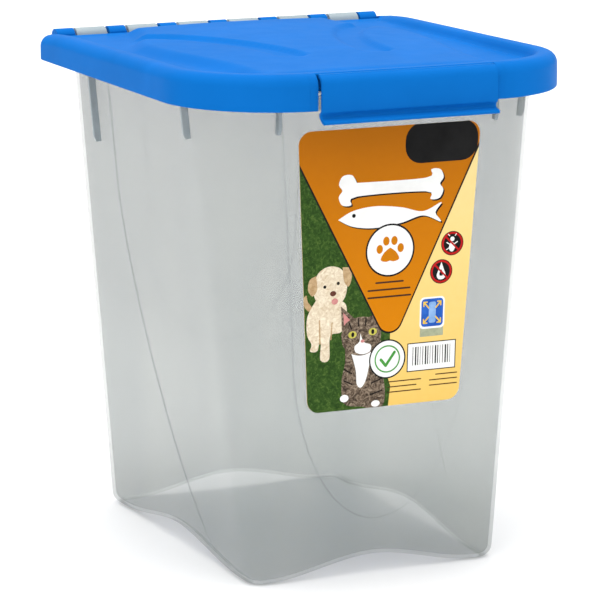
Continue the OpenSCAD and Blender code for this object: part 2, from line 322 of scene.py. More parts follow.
def moulded(name, dark, light, rough=(0.28, 0.38), alpha=1.0, grain=900.0, grain_bump=0.05,
            cloud=14.0, specular=0.5, stretch=1.0, heights=None):
    """Moulded plastic: faint flow clouds in its colour, uneven gloss and a fine skin, and, when heights is given,
    painted light and shade that lighten or darken the colour by height.
    """
    mat, tree, shader = material(name)
    clouds = noise(tree, cloud, 4.0, 0.55, 0.6, stretch)
    colour = ramp(tree, clouds.outputs["Fac"], [(0.3, dark), (0.7, light)])
    tint = colour.outputs["Color"]
    # painted light and shade: the colour is multiplied by a ramp over the object's height
    if heights:
        split = tree.nodes.new("ShaderNodeSeparateXYZ")
        coord = tree.nodes.new("ShaderNodeTexCoord")
        tree.links.new(coord.outputs["Object"], split.inputs["Vector"])
        painted_light_ramp = ramp(tree, split.outputs["Z"], [(z, (g, g, g * 1.004)) for z, g in heights])
        blend = tree.nodes.new("ShaderNodeMix")
        blend.data_type = "RGBA"
        blend.blend_type = "MULTIPLY"
        blend.inputs["Factor"].default_value = 1.0
        tree.links.new(tint, blend.inputs["A"])
        tree.links.new(painted_light_ramp.outputs["Color"], blend.inputs["B"])
        tint = blend.outputs["Result"]
    tree.links.new(tint, shader.inputs["Base Color"])
    gloss = noise(tree, cloud * 4, 3.0, 0.6)
    spread = tree.nodes.new("ShaderNodeMapRange")
    spread.inputs["To Min"].default_value = rough[0]
    spread.inputs["To Max"].default_value = rough[1]
    tree.links.new(gloss.outputs["Fac"], spread.inputs["Value"])
    tree.links.new(spread.outputs["Result"], shader.inputs["Roughness"])
    skin = noise(tree, grain, 2.0, 0.5)
    bump(tree, shader, skin.outputs["Fac"], grain_bump, 0.0004)
    shader.inputs["Alpha"].default_value = alpha
    shader.inputs["IOR"].default_value = 1.49
    shader.inputs["Specular IOR Level"].default_value = specular
    return mat


# The clear plastic's colour clouds, drawn out upright by stretch, are its own uneven tone and also painted reflection
# bands: lighter and darker streaks up the walls.
CLEAR = moulded("clear_plastic", (0.205, 0.247, 0.236), (0.31, 0.342, 0.315), (0.285, 0.305), alpha=0.29,
                grain=500, grain_bump=0.004, cloud=22, stretch=5.0, specular=0.2,
                # heights: painted reflection of the white floor, lighter from 5 to 11 cm up, with painted shade at the
                # foot and above 15 cm
                heights=[(0.0, 0.85), (0.05, 1.06), (0.11, 1.06), (0.15, 0.86), (0.3, 0.82)])
CLEAR_SOLID = moulded("clear_plastic_thick", (0.24, 0.30, 0.33), (0.34, 0.40, 0.42), (0.22, 0.32), alpha=0.95,
                      grain=500, grain_bump=0.03, cloud=30, specular=0.3)
# Painted shade: the panel steps' faces get a darker, less see-through plastic, so the steps show as dark lines.
CLEAR_STEP_PAINTED_SHADE = moulded("clear_plastic_step_painted_shade", (0.10, 0.13, 0.14), (0.16, 0.19, 0.20), (0.3, 0.4), alpha=0.38,
                     grain=500, grain_bump=0.03, cloud=30)
# Painted light: the bin's floor gets a much lighter, nearly clear copy of the plastic, so the floor and the shadow
# under it look brighter.
CLEAR_FLOOR_PAINTED_LIGHT = moulded("clear_plastic_floor_painted_light", (0.50, 0.55, 0.57), (0.62, 0.65, 0.65), (0.25, 0.35), alpha=0.06,
                      grain=500, grain_bump=0.01, cloud=12)
CLEAR_RIB = moulded("clear_plastic_edge", (0.24, 0.30, 0.34), (0.33, 0.39, 0.42), (0.22, 0.32), alpha=0.6,
                    grain=500, grain_bump=0.03, cloud=30)
BLUE = moulded("blue_plastic", (0.003, 0.124, 0.44), (0.004, 0.139, 0.49), (0.32, 0.44), grain=1100,
               grain_bump=0.07, cloud=18, specular=0.01)
ROD = moulded("rod_plastic", (0.60, 0.60, 0.57), (0.70, 0.70, 0.67), (0.35, 0.5))
SEAL = moulded("seal_rubber", (0.78, 0.78, 0.74), (0.86, 0.86, 0.83), (0.55, 0.7), grain=700, grain_bump=0.15)


def ink(name, stops, scale=60.0, detail=4.0, distortion=0.0, rough=0.22):
    """Printed film: ink whose colour varies a little, under a thin glossy varnish."""
    mat, tree, shader = material(name)
    tex = noise(tree, scale, detail, 0.6, distortion)
    colour = ramp(tree, tex.outputs["Fac"], stops)
    tree.links.new(colour.outputs["Color"], shader.inputs["Base Color"])
    skin = noise(tree, 350, 2.0)
    bump(tree, shader, skin.outputs["Fac"], 0.05, 0.0003)
    shader.inputs["Roughness"].default_value = rough
    shader.inputs["Specular IOR Level"].default_value = 0.06
    return mat


def height_ink(name, low_z, high_z, low, high):
    """Ink that shades from one colour at the foot of the label to another at its top."""
    mat, tree, shader = material(name)
    coord = tree.nodes.new("ShaderNodeTexCoord")
    split = tree.nodes.new("ShaderNodeSeparateXYZ")
    tree.links.new(coord.outputs["Object"], split.inputs["Vector"])
    span = tree.nodes.new("ShaderNodeMapRange")
    span.inputs["From Min"].default_value = low_z / 1000
    span.inputs["From Max"].default_value = high_z / 1000
    tree.links.new(split.outputs["Z"], span.inputs["Value"])
    tex = noise(tree, 240, 3.0)
    wobble = tree.nodes.new("ShaderNodeMath")
    wobble.operation = "MULTIPLY_ADD"
    wobble.inputs[1].default_value = 0.16
    tree.links.new(tex.outputs["Fac"], wobble.inputs[0])
    tree.links.new(span.outputs["Result"], wobble.inputs[2])
    colour = ramp(tree, wobble.outputs["Value"], [(0.05, low), (1.0, high)])
    tree.links.new(colour.outputs["Color"], shader.inputs["Base Color"])
    shader.inputs["Roughness"].default_value = 0.22
    shader.inputs["Specular IOR Level"].default_value = 0.06
    return mat


# ------------------------------------------------------------------ the bin

BIN_STEPS = 12
BIN_SIDE = 22


def bin_outline(level, inset):
    """Outline of the bin's wall at the base (level 0) or at the rim (level 1)."""
    f = even(BIN_SIDE)
    if level == 0:
        return ring(BASE_X - inset, BASE_Y - inset, BASE_Y - inset, BASE_R - inset, BASE_R - inset, BIN_STEPS, f, f, f)
    return ring(TOP_X - inset, TOP_FRONT - inset, TOP_BACK - inset, TOP_FRONT_R - inset, TOP_BACK_R - inset,
                BIN_STEPS, f, f, f)


def wall_ring(inset, heights):
    low, high = bin_outline(0, inset), bin_outline(1, inset)
    return [(mix(a[0], b[0], h / RIM_Z), mix(a[1], b[1], h / RIM_Z), h) for a, b, h in zip(low, high, heights)]


def vault(x, y):
    return ARCH * (1 - smooth(abs(x) / BASE_X / FOOT_REACH) * smooth(abs(y) / BASE_Y / FOOT_REACH))


def bowl(reach, drop, power=2.0, steps=24):
    """A quarter of a superellipse, from its side (reach, 0) to its lowest point (0, drop)."""
    angles = [math.radians(90 * k / steps) for k in range(steps + 1)]
    return [(reach * max(math.cos(a), 0.0) ** (2 / power), drop * math.sin(a) ** (2 / power)) for a in angles]


def u_line(half_top, half_mid, mid_z, low_z):
    """Down one leg, round the bottom and up the other leg of a U, as (x, z)."""
    leg = [(mix(half_mid, half_top, k / 10), mix(mid_z, PANEL_TOP_Z, k / 10)) for k in range(10, 0, -1)]
    half = leg + [(x, mid_z - down) for x, down in bowl(half_mid, mid_z - low_z)]
    return [(-x, z) for x, z in half] + half[-2::-1]


def side_line():
    """Down from the rim and round towards the front foot, as (y, z)."""
    leg = [(SIDE_STEP_Y, mix(PANEL_TOP_Z, SIDE_STEP_BEND_Z, k / 5)) for k in range(5)]
    bend = bowl(SIDE_STEP_Y - SIDE_STEP_END_Y, SIDE_STEP_BEND_Z - SIDE_STEP_LOW_Z, SIDE_STEP_POWER)
    return leg + [(SIDE_STEP_END_Y + y, SIDE_STEP_BEND_Z - down) for y, down in bend]


def wall_patch(shape, rows, first, count, to_flat, place, step_line, area, height, raise_left, flip):
    """Fills one flat side of the wall, and lifts the part inside area, whose edge follows step_line, by height."""
    ids = [first + k for k in range(count)]
    n = len(rows[0])
    low = [rows[0][i % n] for i in ids]
    high = [rows[-1][i % n] for i in ids]
    right = [r[ids[-1] % n] for r in rows[1:-1]]
    left = [r[ids[0] % n] for r in rows[1:-1]]
    loop = low + right + high[::-1] + left[::-1]
    flat = [to_flat(shape.v[i]) for i in loop]
    a = side_steps(step_line, STEP_HALF if raise_left else -STEP_HALF)
    b = side_steps(step_line, -STEP_HALF if raise_left else STEP_HALF)
    us = [p[0] for p in flat]
    vs = [p[1] for p in flat]
    extra = []
    nu = int((max(us) - min(us)) / 9)
    nv = int((max(vs) - min(vs)) / 9)
    for i in range(1, nu):
        for j in range(1, nv):
            p = (mix(min(us), max(us), i / nu), mix(min(vs), max(vs), j / nv))
            if inside(p, flat) and not near_line(p, flat + flat[:1], 3.5) and not near_line(p, step_line, 2.5):
                extra.append(p)

    def lifted(u, v):
        up = 0.0
        if inside((u, v), area) and not near_line((u, v), b, 0.05):
            up = height
        return place(u, v, up)

    # Faces along the step get material 1, the step plastic with painted shade.
    def step_or_wall(mid):
        return 1 if near_line(mid, step_line, STEP_HALF + 0.05) else 0

    shape.patch(loop, flat, [a, b], extra, lifted, flip, step_or_wall)


def bin_shell():
    s = Shape()
    foot = bin_outline(0, EDGE_R)
    base = [vault(x, y) for x, y in foot]
    scales = [0.06, 0.13, 0.2, 0.28, 0.36, 0.44, 0.52, 0.6, 0.68, 0.76, 0.83, 0.89, 0.94, 0.975]

    def floor_rings(lift):
        return [[(x * k, y * k, vault(x * k, y * k) + lift) for x, y in foot] for k in scales]

    def edge_rings(inset, r, lift, steps):
        out = []
        for k in range(steps + 1):
            a = math.radians(90 * k / steps)
            out.append(wall_ring(inset + r * (1 - math.sin(a)), [z + lift + r * (1 - math.cos(a)) for z in base]))
        return out

    def flange(inset, z):
        f = even(BIN_SIDE)
        pts = ring(FLANGE_X - inset, FLANGE_FRONT - inset, FLANGE_BACK - inset, FLANGE_FRONT_R - inset,
                   FLANGE_BACK_R - inset, BIN_STEPS, f, f, f)
        return [(x, y, z) for x, y in bowed(pts, FLANGE_X, BOW)]

    # outside: floor, rounded foot edge, wall, rim flange
    # mat 2 is the floor's plastic with painted light
    rings = [s.add(r) for r in floor_rings(0)]
    s.cap(rings[0], (0, 0, ARCH), flip=True, mat=2)
    rings += [s.add(r) for r in edge_rings(0, EDGE_R, 0, 8)]
    for k, (a, b) in enumerate(zip(rings, rings[1:])):
        s.strip(a, b, mat=2 if k < len(scales) else 0)
    wall = [rings[-1]]
    rows = 10
    for k in range(1, rows + 1):
        wall.append(s.add(wall_ring(0, [mix(z + EDGE_R, RIM_Z - 2, k / rows) for z in base])))
    c = BIN_STEPS
    per = BIN_SIDE
    front0 = c
    right0 = front0 + per + c
    back0 = right0 + per + c
    left0 = back0 + per + c
    flats = [set(range(f, f + per)) for f in (front0, right0, back0, left0)]
    n = len(wall[0])
    skip = {i % n for f in flats for i in f}
    for a, b in zip(wall, wall[1:]):
        s.strip(a, b, skip=skip)

    lean_front = (TOP_FRONT - BASE_Y) / RIM_Z
    lean_side = (TOP_X - BASE_X) / RIM_Z
    fade_top = lambda v: smooth((RIM_Z - 6 - v) / 7)
    u_front = u_line(**FRONT_PANEL)
    wall_patch(s, wall, front0, per + 1, lambda p: (p[0], p[2]),
               lambda u, v, up: (u, -(BASE_Y + lean_front * v) - up * fade_top(v), v),
               u_front, u_front, PANEL_RISE, True, False)
    u_back = u_line(**BACK_PANEL)
    wall_patch(s, wall, back0, per + 1, lambda p: (-p[0], p[2]),
               lambda u, v, up: (-u, BASE_Y + up * fade_top(v), v),
               u_back, u_back, PANEL_RISE, True, False)
    arc = side_line()

    def arc_area(sign):
        end = SIDE_STEP_END_Y - 4
        return [(sign * y, z) for y, z in arc] + [(sign * end, SIDE_STEP_LOW_Z), (sign * -120, SIDE_STEP_LOW_Z),
                                                  (sign * -120, RIM_Z)]

    def side_place(sign, facing):
        def place(u, v, up):
            y = u * facing
            fade = (fade_top(v) * smooth((v - 14) / 16) * smooth((y + mix(101, 87, v / RIM_Z)) / 12))
            return (sign * (BASE_X + lean_side * v + up * fade), y, v)
        return place

    wall_patch(s, wall, right0, per + 1, lambda p: (p[1], p[2]), side_place(1, 1),
               arc, arc_area(1), -PANEL_RISE, False, False)
    left_line = [(-y, z) for y, z in arc]
    wall_patch(s, wall, left0, per + 1, lambda p: (-p[1], p[2]), side_place(-1, -1),
               left_line, arc_area(-1), -PANEL_RISE, True, False)

    top = [wall[-1]]
    for inset, z in ((2.6, RIM_Z - 2), (2.1, RIM_Z - 2.3), (2.0, RIM_Z - 2.8), (2.0, RIM_Z - 6.6), (1.6, RIM_Z - 7),
                     (0.4, RIM_Z - 7), (0, RIM_Z - 6.6), (0, RIM_Z - 1.4), (0.4, RIM_Z - 0.4), (1.4, RIM_Z)):
        top.append(s.add(flange(inset, z)))
    # inside: mouth, wall, floor
    top.append(s.add(wall_ring(WALL - 0.6, [RIM_Z] * n)))
    top.append(s.add(wall_ring(WALL, [RIM_Z - 0.6] * n)))
    for k in range(rows - 1, 0, -1):
        top.append(s.add(wall_ring(WALL, [mix(z + EDGE_R, RIM_Z - 2, k / rows) for z in base])))
    top += [s.add(r) for r in reversed(edge_rings(WALL, EDGE_R - WALL, WALL, 6))]
    inner = [s.add(r) for r in reversed(floor_rings(WALL))]
    top += inner
    for k, (a, b) in enumerate(zip(top, top[1:])):
        s.strip(a, b, mat=2 if k >= len(top) - len(inner) - 1 else 0)
    s.cap(inner[-1], (0, 0, ARCH + WALL), mat=2)
    # Material 1 is the steps' plastic with painted shade, and material 2 is the floor's plastic with painted light.
    return s.build("bin_shell_moulding", "bin", [CLEAR, CLEAR_STEP_PAINTED_SHADE, CLEAR_FLOOR_PAINTED_LIGHT], ["bin_shell"],
                   sharp=28)


def extrude(name, profile, spans, body, mat, replaces, width, segments=3, angle=30):
    """Extrudes a (y, z) profile along X over each span, and rounds its edges."""
    s = Shape()
    for x0, x1 in spans:
        a = s.add([(x0, y, z) for y, z in profile])
        b = s.add([(x1, y, z) for y, z in profile])
        s.strip(a, b)
        s.face(a[::-1])
        s.face(b)
    obj = s.build(name, body, [mat], replaces)
    bm = bmesh.new()
    bm.from_mesh(obj.data)
    bmesh.ops.recalc_face_normals(bm, faces=bm.faces)
    bm.to_mesh(obj.data)
    bm.free()
    return bevelled(obj, width, segments, angle)


def arc_points(cy, cz, r, start, end, steps):
    return [(cy + r * math.cos(math.radians(mix(start, end, k / steps))),
             cz + r * math.sin(math.radians(mix(start, end, k / steps)))) for k in range(steps + 1)]


def knuckles():
    arm = arc_points(HINGE_Y, HINGE_Z, KNUCKLE_R, -108, 180, 40)
    profile = arm + [(FLANGE_BACK - 0.1, HINGE_Z - 5), (FLANGE_BACK - 0.1, RIM_Z - 7), (FLANGE_BACK + 2.35, RIM_Z - 7)]
    spans = [(k * PITCH - BIN_KNUCKLE_HALF, k * PITCH + BIN_KNUCKLE_HALF) for k in (-2.5, -1.5, -0.5, 0.5, 1.5, 2.5)]
    extrude("bin_knuckle_barrels", profile, spans, "bin", CLEAR_SOLID, ["bin_hinge_knuckles"],
            2.3, 6, 40)
    arm = arc_points(HINGE_Y, HINGE_Z, KNUCKLE_R, 168, -156, 40)
    profile = arm + [(LID_EDGE_BACK - 0.1, UNDER_Z + 0.3), (LID_EDGE_BACK - 0.1, UNDER_Z + 3.5)]
    end = 2.5 * PITCH + BIN_KNUCKLE_HALF + END_GAP
    spans = [(k * PITCH - LID_KNUCKLE_HALF, k * PITCH + LID_KNUCKLE_HALF) for k in (-2, -1, 0, 1, 2)]
    spans += [(end, end + END_KNUCKLE), (-end - END_KNUCKLE, -end)]
    extrude("lid_knuckle_barrels", profile, spans, "lid", BLUE, ["lid_hinge_knuckles"], 1.6, 5, 40)


# ------------------------------------------------------------------ the lid

LID_STEPS = 18
LID_SIDE = 20
FRONT_STRAIGHT = LID_X - LID_FRONT_R
BACK_STRAIGHT = LID_X - LID_BACK_R
HINGE_ZONE = BACK_STRAIGHT - 1
FRONT_XS = ([-62, -SLIT_X - 0.4, -SLIT_X, -SLIT_X + 0.05] + [x for x in range(-52, 53, 8)]
            + [SLIT_X - 0.05, SLIT_X, SLIT_X + 0.4, 62])
BACK_XS = ([HINGE_ZONE, HINGE_ZONE - 0.05] + [x for x in range(104, -105, -13)] + [-HINGE_ZONE + 0.05, -HINGE_ZONE])


def lid_outline(inset):
    ff = [(x + FRONT_STRAIGHT) / 2 / FRONT_STRAIGHT for x in FRONT_XS]
    bf = [(BACK_STRAIGHT - x) / 2 / BACK_STRAIGHT for x in BACK_XS]
    pts = ring(LID_X - inset, LID_FRONT - inset, LID_BACK - inset, LID_FRONT_R - inset, LID_BACK_R - inset,
               LID_STEPS, ff, even(LID_SIDE), bf)
    return bowed(pts, LID_X, BOW)


def brim_z(y):
    dip = BRIM_DIP * smooth((y - BRIM_DIP_Y) / (LID_BACK - BRIM_DIP_Y))
    return mix(BRIM_BACK_Z, BRIM_FRONT_Z, (LID_BACK - y) / (LID_BACK + LID_FRONT)) - dip


def rounded(cx, cz, r, start, end, steps):
    """Points on an arc of a section, as (inset, height)."""
    return [(cx + r * math.cos(math.radians(mix(start, end, k / steps))),
             cz + r * math.sin(math.radians(mix(start, end, k / steps)))) for k in range(steps + 1)]


def plain_edge(z):
    inner = [(22, UNDER_Z), (13.5, UNDER_Z), (12.6, UNDER_Z + 0.5), (10, z - WALL), (7, z - WALL), (4.8, z - 3.0),
             (3.1, z - 4.6), (WALL, z - 7), (WALL, SKIRT_Z + 0.5), (WALL - 0.5, SKIRT_Z)]
    outer = [(0.5, SKIRT_Z), (0.0, SKIRT_Z + 0.5), (0, mix(SKIRT_Z, z, 0.3)), (0, z - 7)]
    outer += rounded(7, z - 7, 7, 172, 96, 7)
    crest = [(7.4, z), (10.6, z), (11.8, z - 0.25), (13.2, z - 1.0), (14.6, mix(DECK_Z, z, 0.45)),
             (15.8, mix(DECK_Z, z, 0.12)), (17.2, DECK_Z)]
    return inner + outer + crest


def latch_edge(z):
    inner = [(22, UNDER_Z), (13.5, UNDER_Z), (12.6, UNDER_Z + 0.5), (10, z - WALL), (8.5, z - WALL), (7.6, z - WALL),
             (6.8, z - WALL), (6.2, z - WALL), (5.9, z - WALL), (5.6, z - WALL)]
    outer = [(5.5, z - 2.1), (5.5, z - 1.95), (5.5, z - 1.8), (5.5, z - 1.65)]
    outer += [(5.5, z - 1.5), (5.5, z - 1.35), (5.5, z - 1.2), (5.5, z - 1.05), (5.52, z - 0.9), (5.6, z - 0.6),
              (5.8, z - 0.3), (6.3, z - 0.02)]
    crest = [(7.4, z), (10.6, z), (11.8, z - 0.25), (13.2, z - 1.0), (14.6, mix(DECK_Z, z, 0.45)),
             (15.8, mix(DECK_Z, z, 0.12)), (17.2, DECK_Z)]
    return inner + outer + crest


def hinge_edge(_):
    e = LID_BACK - LID_EDGE_BACK
    h = DECK_Z + 0.5
    inner = [(22, UNDER_Z), (20, UNDER_Z), (18.5, UNDER_Z), (17.5, UNDER_Z), (16.5, UNDER_Z), (15.5, UNDER_Z),
             (14.5, UNDER_Z), (13.5, UNDER_Z), (12.5, UNDER_Z), (11.5, UNDER_Z)]
    outer = [(e + 0.3, UNDER_Z), (e, UNDER_Z + 0.3), (e, UNDER_Z + 1), (e, UNDER_Z + 1.8)]
    outer += [(e, UNDER_Z + 2.2), (e + 0.1, h - 0.9), (e + 0.25, h - 0.6), (e + 0.5, h - 0.3), (e + 0.9, h - 0.1),
              (e + 1.3, h), (e + 1.8, h), (e + 2.4, h)]
    crest = [(e + 3.0, h), (e + 3.6, h), (e + 4.3, h - 0.15), (e + 5.1, h - 0.3), (e + 5.9, DECK_Z + 0.1),
             (e + 6.7, DECK_Z + 0.05), (e + 7.4, DECK_Z)]
    return inner + outer + crest


# The groove on each half of the deck: a quarter of a superellipse from near the flank at the back to the middle.
GROOVE_OUT, GROOVE_BACK = (28, 82), (-54, 64)
SWOOSH = [(GROOVE_OUT[1] - across, GROOVE_BACK[0] + back)
          for across, back in bowl(GROOVE_OUT[1] - GROOVE_OUT[0], GROOVE_BACK[1] - GROOVE_BACK[0], 1.7, 30)]


def relief(x, y):
    """Height of the deck above its flat level: a crowned dome with soft flanks and a curved groove on each side."""
    x = abs(x)
    half = mix(70, 92, smooth((95 - y) / 70)) if y > 25 else mix(92, 76, smooth((25 - y) / 125))
    across = smooth((half + 6 - x) / 13)
    front = smooth((y + 138) / 26)
    back = smooth((112 - y) / 12)
    dome = DOME_RISE * across * front * back * (1 - 0.3 * (x / 90) ** 2) * (1 - 0.25 * smooth((-y - 20) / 110))
    d = min((Vector(p) - Vector((x, y))).length for p in SWOOSH)
    return dome - GROOVE_DEPTH * (1 - smooth((d - GROOVE_HALF) / 5.0)) * across


def lid_shell():
    s = Shape()
    outline = lid_outline(0)
    n = len(outline)
    f0 = LID_STEPS + 1
    fi = range(f0 + 3, f0 + len(FRONT_XS) - 3)
    b0 = f0 + len(FRONT_XS) + (LID_STEPS + 1) + (LID_SIDE - 1) + (LID_STEPS + 1)
    bi = range(b0 + 1, b0 + len(BACK_XS) - 1)
    kinds = [latch_edge if i in fi else hinge_edge if i in bi else plain_edge for i in range(n)]
    cache = {}

    def at(inset):
        key = round(inset, 5)
        if key not in cache:
            cache[key] = lid_outline(inset)
        return cache[key]

    columns = []
    for i in range(n):
        columns.append([(*at(d)[i], z) for d, z in kinds[i](brim_z(outline[i][1]))])
    steps = len(columns[0])
    under = []
    for k in (0.12, 0.3, 0.5, 0.7, 0.88):
        under.append(s.add([(mix(0, c[0][0], k), mix(-12, c[0][1], k),
                             UNDER_Z + relief(mix(0, c[0][0], k), mix(-12, c[0][1], k))) for c in columns]))
    s.cap(under[0], (0, -12, UNDER_Z + relief(0, -12)), flip=True)
    rings = under + [s.add([c[k] for c in columns]) for k in range(steps)]
    for a, b in zip(rings, rings[1:]):
        s.strip(a, b)
    loop = rings[-1]
    flat = [(s.v[i][0], s.v[i][1]) for i in loop]
    extra = []
    pitch = 2.1
    for i in range(-58, 59):
        for j in range(-75, 60):
            p = (i * pitch + (pitch / 2 if j % 2 else 0), j * pitch)
            if inside(p, flat) and not near_line(p, flat + flat[:1], 1.6):
                extra.append(p)
    s.patch(loop, flat, [], extra, lambda x, y: (x, y, DECK_Z + relief(x, y)))
    return s.build("lid_shell_moulding", "lid", [BLUE], ["lid_shell"], sharp=40)


def latch():
    y, z, low = -LATCH_FACE, BRIM_FRONT_Z, SKIRT_Z
    bead = -(FLANGE_FRONT + BOW + 0.4)
    profile = [(-LATCH_PIVOT - 0.45, z - 0.3), (y + 4.6, z - 0.35)]
    profile += [(y + 6 + 6 * math.cos(math.radians(a)), z - 6.4 + 6 * math.sin(math.radians(a)))
                for a in range(105, 181, 12)]
    profile += [(y, low - 0.2), (y + 0.4, low - 0.9), (y + 1.3, low - 1.4), (y + 2.0, low - 2.2), (y + 2.2, low - 3.3),
                (y + 1.7, low - 4.3), (y + 0.4, low - 4.8), (y - 1.6, low - 5.1), (y - 2.9, low - 5.7),
                (y - 3.0, low - 6.5),
                (y - 2.4, low - 7.3), (y - 1.6, low - 7.55), (y + 1.2, low - 6.6), (bead, low - 3.8), (bead, low - 1.6),
                (y + 2.2, low - 0.3), (y + 2.2, z - 6.2), (y + 3.2, z - 3.6), (y + 4.8, z - 2.6),
                (-LATCH_PIVOT - 0.45, z - 2.4)]
    extrude("latch_flap_moulding", profile, [(-LATCH_W / 2, LATCH_W / 2)], "latch", BLUE, ["latch_flap"],
            0.55, 3, 32)


# ------------------------------------------------------------------ the label

LABEL_X = 1.9
LABEL_LOW, LABEL_HIGH = 104.0, 273.0


def label_half(z):
    return mix(49.5, 59.1, (z - LABEL_LOW) / (LABEL_HIGH - LABEL_LOW))


def round_poly(points, radii, steps=8):
    """A polygon with its corners rounded."""
    out = []
    n = len(points)
    for i in range(n):
        p, a, b = Vector(points[i]), Vector(points[i - 1]), Vector(points[(i + 1) % n])
        r = radii[i] if isinstance(radii, (list, tuple)) else radii
        u, v = (a - p).normalized(), (b - p).normalized()
        if r <= 0:
            out.append((p[0], p[1]))
            continue
        half = math.acos(max(-1, min(1, u.dot(v)))) / 2
        d = r / math.tan(half)
        c = p + (u + v).normalized() * (r / math.sin(half))
        s, e = p + u * d - c, p + v * d - c
        a0 = math.atan2(s[1], s[0])
        turn = (math.atan2(e[1], e[0]) - a0 + math.pi) % (2 * math.pi) - math.pi
        out += [(c[0] + r * math.cos(a0 + turn * k / steps), c[1] + r * math.sin(a0 + turn * k / steps))
                for k in range(steps + 1)]
    return out


def disc(cx, cz, r, squash=1.0, steps=36):
    return [(cx + r * math.cos(2 * math.pi * k / steps), cz + r * squash * math.sin(2 * math.pi * k / steps))
            for k in range(steps)]


def box(x0, z0, x1, z1, r=0.0):
    return round_poly([(x0, z0), (x1, z0), (x1, z1), (x0, z1)], r, 6)


def bar(ax, az, bx, bz, width):
    """A straight stroke with round ends."""
    a, b = Vector((ax, az)), Vector((bx, bz))
    along_ = math.atan2((b - a)[1], (b - a)[0])
    out = []
    for c, start in ((b, along_ - math.pi / 2), (a, along_ + math.pi / 2)):
        out += [(c[0] + width / 2 * math.cos(start + math.pi * k / 8),
                 c[1] + width / 2 * math.sin(start + math.pi * k / 8))
                for k in range(9)]
    return out


def blob(points):
    return curve_points(points + points[:1], 1.2)[:-1]


def shifted(loop, dx, dz):
    return [(x + dx, z + dz) for x, z in loop]


def clip(loop, hull):
    """The part of a loop that lies inside a convex, counter-clockwise hull."""
    for i in range(len(hull)):
        a, b = hull[i - 1], hull[i]
        side = lambda p: (b[0] - a[0]) * (p[1] - a[1]) - (b[1] - a[1]) * (p[0] - a[0])
        out = []
        for k in range(len(loop)):
            p, q = loop[k - 1], loop[k]
            sp, sq = side(p), side(q)
            if (sp >= 0) != (sq >= 0):
                t = sp / (sp - sq)
                out.append((mix(p[0], q[0], t), mix(p[1], q[1], t)))
            if sq >= 0:
                out.append(q)
        loop = out
        if not loop:
            break
    return loop


def paw(cx, cz, size):
    """A paw print: one pad and four toes."""
    pad = blob([(cx + size * x, cz + size * z) for x, z in
                ((0, 0.05), (0.35, -0.2), (0.55, -0.6), (0.2, -0.72), (0, -0.66), (-0.2, -0.72),
                 (-0.55, -0.6), (-0.35, -0.2))])
    toes = [disc(cx + size * x, cz + size * z, size * 0.19, 1.3, 20)
            for x, z in ((-0.62, 0.0), (-0.24, 0.42), (0.24, 0.42), (0.62, 0.0))]
    return [pad] + toes


def bone(cx, cz, length, thick):
    h = thick / 2
    x = length / 2
    pts = [(-x + h * 1.6, h * 0.62), (-x + h * 1.1, h * 1.35), (-x + h * 0.2, h * 1.3), (-x - h * 0.15, h * 0.55),
           (-x + h * 0.2, 0), (-x - h * 0.15, -h * 0.55), (-x + h * 0.2, -h * 1.3), (-x + h * 1.1, -h * 1.35),
           (-x + h * 1.6, -h * 0.62)]
    pts += [(-a, -b) for a, b in pts]
    return blob([(cx + a, cz + b) for a, b in pts])


def fish(cx, cz, length, thick):
    h = thick / 2
    x = length / 2
    pts = [(-x, 0), (-x * 0.72, h * 0.72), (-x * 0.3, h), (x * 0.2, h * 0.72), (x * 0.62, h * 0.2), (x * 0.97, h * 0.9),
           (x * 0.86, 0), (x * 0.97, -h * 0.9), (x * 0.62, -h * 0.2), (x * 0.2, -h * 0.72), (-x * 0.3, -h),
            (-x * 0.72, -h * 0.72)]
    return blob([(cx + a, cz + b) for a, b in pts])


